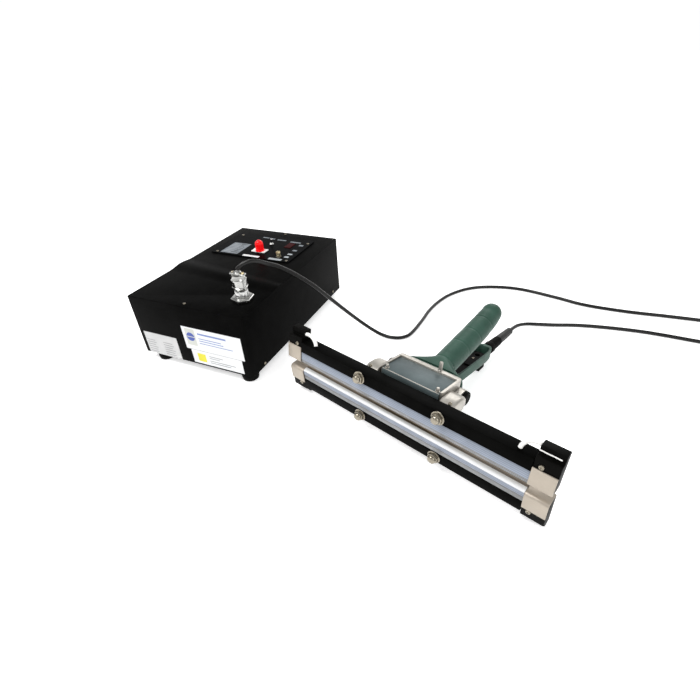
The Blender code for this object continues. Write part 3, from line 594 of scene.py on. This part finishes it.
def connector():
    x, y = 206, 54.8
    seat = 132.3
    lift = seat + 11.3
    hexagon = carried(spun([(18.6, seat), (19.6, seat + 1), (19.6, seat + 5.4), (18.4, seat + 6.4)], 6),
                      CASE @ shift(x, y, 0) @ turned(12, "Z"), CASE)
    add("connector_flange", CASE, hexagon, "shell",
        joins=[spun([(12, 112), (12, seat + 2), (8, seat + 2.2), (8, seat + 11)], 48, (x, y, 0)),
               spun([(13.5, seat + 5), (13.5, seat + 6.6), (13, seat + 6.75)], 48, (x, y, 0))],
        cuts=[spun([(5.6, seat + 4), (5.6, seat + 20)], 40, (x, y, 0))], bevel=0.35, stands_for=("socket_flange",))
    loop = [(8.35, seat + 6.9), (10.4, seat + 6.9), (10.95, seat + 7.6), (10.95, lift + 5.6), (10.4, lift + 6.5),
            (8.35, lift + 7)]
    add("coupling_knurl", CASE, sleeve(loop, 96, (x, y, 0), 48, 0.45), "chrome", "coupling",
        smooth=28, stands_for=("coupling_ring",))
    body = [(8, lift), (8, lift + 7.6), (9.8, lift + 8), (10.6, lift + 9.2), (12.9, lift + 12.5), (12.9, lift + 14),
            (12.4, lift + 14.4), (12.4, lift + 25), (12.9, lift + 25.4), (12.9, lift + 27), (11.4, lift + 29.5),
            (10.8, lift + 34)]
    flats = [carried(box(11.5, 20, -7, 7, lift + 14.6, lift + 24.8), CASE @ shift(x, y, 0) @ turned(a, "Z"), CASE)
             for a in (-112, -52, 8, 68, 128, 188)]
    add("plug_shell", CASE, spun(body, 60, (x, y, 0)), "shell", cuts=flats, smooth=30,
        stands_for=("plug_body",))
    base = lift + 34.3
    add("clamp_saddle", CASE, box(x - 13.5, x + 13.5, y - 4.5, y + 4.5, base, 180.4), "shell",
        first=0.8,
        joins=[spun([(6.2, base + 0.1), (6.2, 182.2), (5.4, 183.1)], 32, (x, y, 0))],
        stands_for=("cable_clamp",))
    for k, s in enumerate((-1, 1)):
        screw(f"clamp_screw_{k}", CASE, (x + s * 9.6, y, 180.4), 2.5, 2.4, "nickel" if s < 0 else "brass")


def rear():
    back = D + 0.3
    add("inlet_body", CASE, box(38, 74.5, back, back + 2.5, 42, 71.5), "bakelite", first=0.6,
        joins=[box(42.4, 70.1, D - 22, back + 1, 46.4, 67.1)], cuts=[box(45, 67.5, D - 14, back + 6, 49, 64.5)],
        stands_for=("power_inlet",))
    for k, (x, z) in enumerate(((49.5, 55), (56.2, 60), (63, 55))):
        add(f"inlet_pin_{k}", CASE, box(x - 1, x + 1, D - 14.5, D - 2, z - 2.5, z + 2.5), "brass",
            bevel=0.4)
    cap = [(6, -30), (6, 0.3), (8.5, 0.32), (8.5, 3.6), (7.9, 4.4), (6.8, 5), (6.5, 8.4), (6.0, 9)]
    add("fuse_cap", CASE, spun(cap, 48, (105, back - 0.2, 57), "Y"), "bakelite",
        cuts=[box(99, 111, back + 7.4, back + 12, 56.2, 57.8)], stands_for=("fuse_holder",))


# ---------------------------------------------------------------- jaws

def jaw(name, place, side, body, pad_top):
    """side is 1 for the upper jaw and -1 for the lower one, which hangs the other way up."""
    def slab(u0, u1, v0, v1, w0, w1):
        return box(u0, u1, v0, v1, *sorted((side * w0, side * w1)))

    def outline(points):
        return [(v, side * w) for v, w in points]

    holes = [spun([(4.3, -4), (4.3, 30)], 24, (u, 0, side * BOLT_W), "Y") for u in (-BOLT_U, BOLT_U)]
    add(name + "_rail", place, slab(-JAW_HALF, JAW_HALF, 1.4, 22.6, 19.1, 36.1), "bar", body,
        first=0.7, cuts=holes, stands_for=(name + "_bar",))
    bottom = pad_top + 0.3
    if side > 0:
        film, ribs = (bottom + 5.3, 18.8), (bottom, bottom + 5.2)
    else:
        film, ribs = (bottom, bottom + 2.4), (bottom + 2.5, 18.8)
    edge = [(2.2, film[0]), (2.2, film[1] - 0.4), (2.6, film[1]), (12, film[1]), (12, film[0])]
    add(name + "_block_cover", place, across(outline(edge), -JAW_HALF, JAW_HALF), "film", body,
        smooth=60, stands_for=(name + "_block",))
    core, steps = [(12.1, ribs[0]), (3.1, ribs[0])], max(2, round((ribs[1] - ribs[0]) / 1.7))
    pitch = (ribs[1] - ribs[0]) / steps
    for k in range(steps):
        low = ribs[0] + pitch * k
        core += [(3.0, low + 0.12), (2.4, low + pitch * 0.35), (2.4, low + pitch * 0.7), (3.0, low + pitch - 0.12)]
    core += [(12.1, ribs[1])]
    add(name + "_block_ribs", place, across(outline(core), -JAW_HALF, JAW_HALF), "ribbed", body,
        smooth=25)
    rest = [(12.2, bottom), (21.8, bottom), (21.8, 18.8), (12.2, 18.8)]
    add(name + "_block_rear", place, across(outline(rest), -JAW_HALF, JAW_HALF), "alu", body,
        bevel=0.5)
    for label, s in (("left", -1), ("right", 1)):
        u0, u1 = sorted((s * 182.1, s * 210.4))
        step = outline([(2.4, 3), (23, 3), (23, 51.9), (10, 51.9), (10, 42), (2.4, 42)])
        add(f"{name}_block_{label}", place, across(step, u0, u1), "bakelite", body, bevel=0.9,
            steps=3, stands_for=(f"{name}_end_{label}",))
        if side > 0:
            plate = outline([(0.4, 3.4), (0.4, 26.0), (0.6, 26.6), (2.1, 26.6), (2.1, 2.7), (21, 2.7), (21, 1.3),
                             (2.4, 1.2), (1.2, 1.6), (0.5, 2.6)])
        else:
            plate = outline([(0.4, 6.2), (0.4, 26.0), (0.6, 26.6), (2.1, 26.6), (2.1, 5.6), (2.9, 3.6), (4.6, 2.8),
                             (7, 2.7), (21, 2.7), (21, 1.25), (7, 1.2), (4.2, 1.35), (2.2, 2.3), (0.9, 4.0)])
        add(f"{name}_plate_{label}", place, across(plate, u0 + 0.1, u1 - 0.1), "clip", body,
            bevel=0.3, stands_for=(f"{name}_clip_{label}",))
        screw(f"{name}_plate_screw_{label}", place, (s * 191, 2.4, side * 30.6), 3.3, 2.0, "nickel", "-Y", body)
        at = (s * BOLT_U, 0, side * BOLT_W)
        acorn = [(3.9, 30), (3.9, 1.1), (9.35, 1.08), (9.35, 0.1), (8.6, -0.2), (6.2, -0.3), (6.2, -4.2),
                 (6.1, -5.6), (5.5, -7.2), (4.4, -8.2), (2.6, -8.9), (0.2, -9.1)]
        flat = spun([(8.1, 0.2), (8.1, -3.5), (7.0, -4.4)], 6, at, "Y")
        add(f"{name}_nut_{label}", place, spun(acorn, 40, at, "Y"), "nickel", body, joins=[flat],
            smooth=28, stands_for=(f"{name}_bolt_{label}",))


def upper_jaw():
    jaw("upper", UPPER, 1, "base", 1.0)
    cloth = [(2.3, 1.0), (2.3, 0.35), (3.4, 0.05), (20.6, 0.05), (21.6, 0.35), (21.6, 1.0)]
    add("strip_cloth", UPPER, across(cloth, -JAW_HALF, JAW_HALF), "tape", smooth=60,
        stands_for=("heating_strip",))
    right = [(163.2, 7.8, 37.9), (163.8, 8.6, 41.4), (166.2, 10.8, 45.6), (170.4, 13.2, 48.6), (175.8, 14.6, 49.6),
             (181.6, 15, 49.2)]
    left = [(-181.6, 12.6, 46.4), (-176, 12.8, 47.0), (-169.5, 12, 46.4), (-163, 10.2, 44.6), (-158.2, 8.2, 42.6),
            (-155.4, 6.8, 40.8), (-154.2, 6, 38.4)]
    tube("sleeve_right", UPPER, even(right, 1.5)[0], 2.7, "silicone",
         stands_for=("wire_right",))
    tube("sleeve_left", UPPER, even(left, 1.5)[0], 2.8, "silicone",
         stands_for=("wire_left",))
    # A thin white tube, 0.8 mm in radius, laid along the right end block's riser.
    tube("riser_line_right", UPPER, [(182.5 + 2 * k, 9.1 + 0.1 * math.sin(k), 45.6) for k in range(13)], 0.8, "silicone")


def lower_jaw():
    jaw("lower", LOWER, -1, "head", 7.8)
    front = [(9.6, -7.8), (3.4, -7.8), (2.9, -6.6), (2.8, -5.2), (2.6, -3.4), (3.0, -2.2), (4.2, -1.0), (6, -0.3),
             (8, 0), (9.6, 0)]
    skin = [(2.2, -3.2), (2.1, -7.7), (2.7, -7.7), (2.7, -5.2), (2.5, -3.2)]
    add("pad_skin", LOWER, across(skin, -JAW_HALF, JAW_HALF), "film", "head", smooth=50)
    # The pad's top behind its white front edge is brown: partly brown PTFE cloth, partly painted shade of the gap
    # under the upper jaw.
    back = [(9.65, -7.8), (9.65, -0.25), (16, -0.3), (19.2, -0.9), (21.2, -2.4), (21.7, -4.4), (21.7, -5.8),
            (20.6, -7.8)]
    add("pad_front", LOWER, across(front, -JAW_HALF, JAW_HALF), "pad", "head", smooth=50,
        stands_for=("seal_pad",))
    add("pad_cloth_and_shade", LOWER, across(back, -JAW_HALF, JAW_HALF), "tape", "head", smooth=50)


# ---------------------------------------------------------------- handles

PIVOT_AT = (0, PIVOT_V, PIVOT_W)
BORE = spun([(BORE_R, -80), (BORE_R, 80)], 40, PIVOT_AT, "X")


def shaft_parts():
    for label, s in (("left", -1), ("right", 1)):
        arm = [(46, 74), (50, 90), (60, 89.5), (76, 87.9), (76, 66.1), (60, 69)]
        lug = [(25.8, 84.9), (27.8, 98.6), (34, 101.4), (50, 99.6), (58, 96.4), (61, 92.6), (61, 84), (50, 75)]
        boss = spun([(11, s * 50.8), (11, s * 60)], 40, PIVOT_AT, "X")
        hole = carried(spun([(4.3, -4), (4.3, 31)], 24, (s * BOLT_U, 0, BOLT_W), "Y"), UPPER, TOOL)
        rings = []
        for u, k in ((50.8, 1), (66.5, 1), (69.2, 0.97), (71, 0.9), (71.9, 0.82), (72.2, 0.74)):
            rings.append([(s * u, 43.5 + (v - 43.5) * k, 90 + (w - 90) * k) for v, w in lug])
        add(f"lug_{label}", TOOL, loft(rings), "cast",
            joins=[across(arm, *sorted((s * 50.8, s * 60))), boss], cuts=[BORE, hole], bevel=1.0, steps=3,
            smooth=40, stands_for=(f"jaw_lug_{label}",))
        outline = ((10.0, 60.5), (10.2, 60.9), (10.2, 63.8), (9.8, 64.8), (8.8, 65.4), (6, 65.7), (5.8, 65.0),
                   (3.6, 65.0), (3.4, 65.6), (0.3, 65.7))
        cap = [(r, s * u) for r, u in outline]
        screw(f"lug_screw_{label}", TOOL, (s * 64.5, 31.2, 100.1), 2.6, 1.6, "nickel")
        add(f"cap_{label}", TOOL, spun(cap, 48, PIVOT_AT, "X"), "bakelite",
            stands_for=(f"shaft_cap_{label}",))
    radius = 7.6
    turns = [(16 + 18 * i / 210, PIVOT_V + radius * math.cos(i * math.pi / 21),
              PIVOT_W + radius * math.sin(i * math.pi / 21)) for i in range(211)]
    tube("spring_coil", TOOL, turns, 0.88, "nickel", stands_for=("return_spring",))


def lever():
    def channel(half, depth, y, top=0.0, count=24):
        arc = [(-half * math.cos(math.pi * k / count), -depth + half * (1 - math.sin(math.pi * k / count)))
               for k in range(count + 1)]
        return [(-half, y, top)] + [(x, y, z) for x, z in arc] + [(half, y, top)]

    outside = [channel(15, 28, -11.4), channel(15, 28, 70), channel(14.4, 28, 95), channel(13, 27.5, 106),
               channel(12, 27.1, 109.6), channel(10.5, 26.5, 112.5), channel(9.1, 25.6, 114.6),
               channel(7.5, 24.5, 116.2), channel(4.5, 22.5, 117.6)]
    inside = [channel(12.4, 24.5, -1, 6), channel(12.4, 24.5, 70, 6), channel(11.8, 24.5, 95, 6),
              channel(10.2, 23.8, 105, 6), channel(8.6, 22.6, 108.5, 6), channel(6.5, 21, 110.5, 6)]
    web = [(67, 74), (84, 74), (81, 60), (80.5, 52.5), (141, 47), (141, 25.5), (112, 28), (82, 42), (68, 60)]
    boss = spun([(11, -14.5), (11, 14.5)], 40, PIVOT_AT, "X")
    add("lever_casting", TOOL, carried(loft(outside), LEVER, TOOL), "green",
        joins=[across(web, -12.7, 12.7), boss],
        cuts=[carried(loft(inside), LEVER, TOOL), BORE, box(-11.5, 11.5, 136, 150, 47, 60)], bevel=0.5, smooth=30,
        stands_for=("lever",))
    plan = [(-11, 0), (11, 0), (11, 60), (9.4, 96), (-9.4, 96), (-11, 60)]
    add("lever_liner", LEVER, upright(plan, -14, -6.5), "bakelite", bevel=0.8, steps=3,
        cuts=[spun([(4.2, -11), (4.2, -4)], 32, (0, 84, 0)), box(-8.6, 8.6, 4, 44, -9, -4)],
        stands_for=("lever_insert",))
    screw("lever_screw", LEVER, (0, 69, -6.5), 2.4, 1.2, "nickel")
    bump = [(230, 1.2), (231.2, 0.3), (233, 0.1), (247, 0.1), (248.8, 0.3), (250, 1.2), (249, 7.2), (231, 9.7)]
    add("lever_bump", TOOL, across(bump, -7, 7), "rubber", bevel=0.8,
        stands_for=("lever_foot",))
    aim = TOOL @ shift(0, 267.7, 24.5) @ turned(-95, "X")
    ring = [(8.6, 0.5), (9.6, 0.7), (10.3, 1.5), (10.3, 12), (9.8, 13), (9.2, 13.5), (9.0, 26), (8.4, 40)]
    add("collar", aim, spun(ring, 48), "rubber", stands_for=("cable_collar",))
    verts, faces = spun([(8.0, 40.3), (8.0, 42), (7.85, 52), (7.5, 64), (7.1, 76), (6.75, 87), (6.4, 89),
                         (5.6, 90.1), (3.8, 90.3)], 64)
    fluted = []
    for k, (x, y, z) in enumerate(verts):
        squeeze = 0.955 if (k % 64) % 4 < 2 and 42.5 < z < 88 else 1.0
        fluted.append((x * squeeze, y * squeeze, z))
    add("boot", aim, (fluted, faces), "sleeve", smooth=28, stands_for=("cable_boot",))


def grip_rings():
    """Rings from the head's housing through the flare to the rounded end, close enough for the finger creases.

    A station is its place along the tongs, its height, its slope in degrees, its half width, its half height and
    how square it is, 2 being an ellipse.
    """
    stations = [(36.4, 78.2, 0, 44.6, 22.6, 9), (39, 78.0, 0, 45, 22.4, 9), (88, 73.6, 0, 45, 18.4, 8),
                (90, 74, 0, 48.5, 18.4, 7), (95, 74.8, 0, 47, 18.4, 5), (99, 75.3, 1, 42, 18.3, 4),
                (104, 75.8, 2, 36, 18.2, 3.2),
                (109, 76.3, 3, 29.4, 18.1, 2.7), (114, 76.9, 5, 23.2, 18.1, 2.3), (118, 77.2, 6, 19.4, 18.0, 2.1),
                (120.4, 77.4, 6, 18.1, 17.6, 2), (121.6, 77.5, 6, 17.5, 17.3, 2), (123.2, 77.6, 6, 18.0, 18.0, 2),
                (132.5, 78.2, 6, 18.1, 18.1, 2), (150, 80, 6, 18.3, 18.3, 2), (160, 81.1, 6, 18.2, 18.2, 2),
                (180, 83.3, 6, 18.4, 18.4, 2), (194, 84.9, 7, 18.2, 18.2, 2), (204, 86.2, 8, 18.1, 18.1, 2),
                (216, 88, 9, 18.4, 18.4, 2), (229, 90.3, 10, 18.0, 18.0, 2), (240, 92.2, 13, 17.7, 17.7, 2),
                (250, 94.6, 18, 17.4, 17.4, 2), (257, 96.7, 27, 16.8, 16.8, 2), (263, 99.2, 35, 16.3, 16.3, 2)]
    fine = []
    for a, b in zip(stations, stations[1:]):
        spacing = 1 if 120 < a[0] < 245 else 3
        count = max(1, round((b[0] - a[0]) / spacing))
        fine += [[p + (q - p) * k / count for p, q in zip(a, b)] for k in range(count)]
    fine.append(list(stations[-1]))
    for row in fine:
        for crease in (165, 200, 235):
            depth = math.exp(-((row[0] - crease) / 1.3) ** 2)
            row[3] -= 0.55 * depth
            row[4] -= 0.85 * depth
    end_v, end_w, end_slope, end_r = stations[-1][:4]
    lean = math.radians(end_slope)
    for k in range(1, 13):
        a = math.radians(90 * k / 12.6)
        d, r = end_r * math.sin(a), end_r * math.cos(a)
        fine.append([end_v + d * math.cos(lean) * 0.98, end_w + d * math.sin(lean) * 0.98, end_slope, r, r, 2])
    rings = []
    for v, w, slope, half_u, half_h, square in fine:
        a = math.radians(slope)
        rings.append([(x, v - z * math.sin(a), w + z * math.cos(a)) for x, z in oval(half_u, half_h, square, 72)])
    return rings


def grip():
    hollow = upright(rounded(-39.5, 39.5, 41, 87, 4, 2), 40, 90)
    deck = across([(20, 103.1), (20, 130), (96, 130), (96, 91)], -60, 60)
    add("grip_casting", TOOL, loft(grip_rings()), "green", "head",
        cuts=[hollow, spun([(BORE_R, -60), (BORE_R, 60)], 40, PIVOT_AT, "X"), deck], smooth=38,
        stands_for=("grip",))


def head_top():
    outer = upright(rounded(-50.3, 50.3, -0.5, 51, 5), -16, 0)
    inside = box(-46.4, 46.4, -10, 43.8, -30, 10)
    under = box(-46.4, 46.4, 30, 60, -30, -5)
    add("head_rim", HEAD, outer, "cast", "head", cuts=[inside, under], bevel=0.8, steps=3,
        joins=[spun([(3.2, -2), (3.2, 1.2), (2.7, 1.6), (2.7, 12.2), (2.2, 13.4), (1.2, 13.7)], 32, (17, 47.6, 0))],
        stands_for=("head_frame",))
    top = [(-2.2, -14), (-0.5, -14), (-0.5, -4.9), (43.4, -4.9), (43.4, -2.3), (-1.0, -2.3), (-1.8, -2.7),
           (-2.2, -3.6)]
    add("deck_plate", HEAD, across(top, -46, 46), "plate", "head", bevel=0.3, smooth=45,
        stands_for=("nameplate",))
    # A thin silver strip over the plate's bent front edge: a painted highlight along that edge.
    edge = [(-1.9, -2.5), (-1.0, -2.22), (-0.5, -2.22), (-0.5, -2.4)]
    add("deck_plate_edge_highlight", HEAD, across(edge, -45.8, 45.8), "cast", "head", smooth=60)
    post = [(3.3, -2.4), (3.3, -1.5), (2.3, -1.3), (2.3, 2.4), (1.8, 3.2), (0.3, 3.3)]
    for label, s in (("left", -1), ("right", 1)):
        add(f"deck_post_{label}", HEAD, spun(post, 32, (s * 41, 3.2, 0)), "cast", "head")


def lower_arms():
    lean = math.radians(2.5)

    def on_jaw(v, w):
        return (1.5 + v * math.cos(lean) + w * math.sin(lean), 53.4 + v * math.sin(lean) - w * math.cos(lean))

    plate = [on_jaw(23, 19.5), on_jaw(30, 19.5), on_jaw(30, 35), on_jaw(23, 35)]
    webs = []
    for s in (-1, 1):
        web = [on_jaw(28, 21), (42, 55.2), (70, 55.2), (64, 47), (46, 25), on_jaw(28, 34)]
        webs.append(across(web, *sorted((s * 34, s * 42))))
    holes = [carried(spun([(4.3, -4), (4.3, 31.5)], 24, (u, 0, -BOLT_W), "Y"), LOWER, TOOL)
             for u in (-BOLT_U, BOLT_U)]
    add("bracket", TOOL, across(plate, -77, 77), "cast", "head", joins=webs, cuts=holes, bevel=0.8,
        stands_for=("lower_bracket",))


control_box()
front_labels()
control_panel()
connector()
rear()
upper_jaw()
lower_jaw()
shaft_parts()
lever()
grip()
head_top()
lower_arms()

KEEP = {"case_base": "case", "panel_plate": "panel", "transformer": "core", "timer_board": "board",
        "pivot_shaft": "chrome", "display_window": "display"}
for node_name, look in KEEP.items():
    held = nodes[node_name]
    held.data.materials.clear()
    held.data.materials.append(M[look])


# ---------------------------------------------------------------- floor and light

def studio():
    mesh = bpy.data.meshes.new("floor")
    mesh.from_pydata([(-9, -9, 0), (9, -9, 0), (9, 9, 0), (-9, 9, 0)], [], [(0, 1, 2, 3)])
    floor = bpy.data.objects.new("floor", mesh)
    bpy.context.scene.collection.objects.link(floor)
    pale = bpy.data.materials.new("pale_floor")
    pale.use_nodes = True
    table = pale.node_tree.nodes["Principled BSDF"].inputs
    for socket, value in (("Base Color", (0.92, 0.92, 0.92, 1)), ("Roughness", 0.9), ("Specular IOR Level", 0.0),
                          ("Emission Color", (1, 1, 1, 1)), ("Emission Strength", 0.55)):
        table[socket].default_value = value
    mesh.materials.append(pale)
    world = bpy.data.worlds.new("studio")
    world.use_nodes = True
    tree = world.node_tree
    node, link = tree.nodes.new, tree.links.new
    place, split, ramp = node("ShaderNodeTexCoord"), node("ShaderNodeSeparateXYZ"), node("ShaderNodeValToRGB")
    link(place.outputs["Generated"], split.inputs["Vector"])
    link(split.outputs["Z"], ramp.inputs["Fac"])
    stops = ramp.color_ramp.elements
    stops[0].position, stops[0].color = 0.0, (1.02, 1.02, 1.02, 1)
    stops[1].position, stops[1].color = 1.0, (0.5, 0.5, 0.5, 1)
    for at, level in ((0.32, 1.02), (0.45, 0.35), (0.62, 0.2), (0.75, 0.75)):
        stops.new(at).color = (level, level, level, 1)
    link(ramp.outputs["Color"], tree.nodes["Background"].inputs["Color"])
    scene = bpy.context.scene
    scene.world = world
    scene.view_settings.view_transform = "Standard"
    for name, at, size, power in (("key", (-0.7, -0.5, 1.6), 0.9, 22), ("fill", (1.2, -0.7, 0.9), 0.8, 5),
                                  ("rim", (0.2, 1.5, 1.1), 1.0, 9)):
        light = bpy.data.lights.new(name, "AREA")
        light.size = size
        light.energy = power
        lamp = bpy.data.objects.new(name, light)
        aim = (Vector((0.1, 0.0, 0.05)) - Vector(at)).to_track_quat("-Z", "Y")
        lamp.matrix_world = Matrix.Translation(at) @ aim.to_matrix().to_4x4()
        scene.collection.objects.link(lamp)


studio()
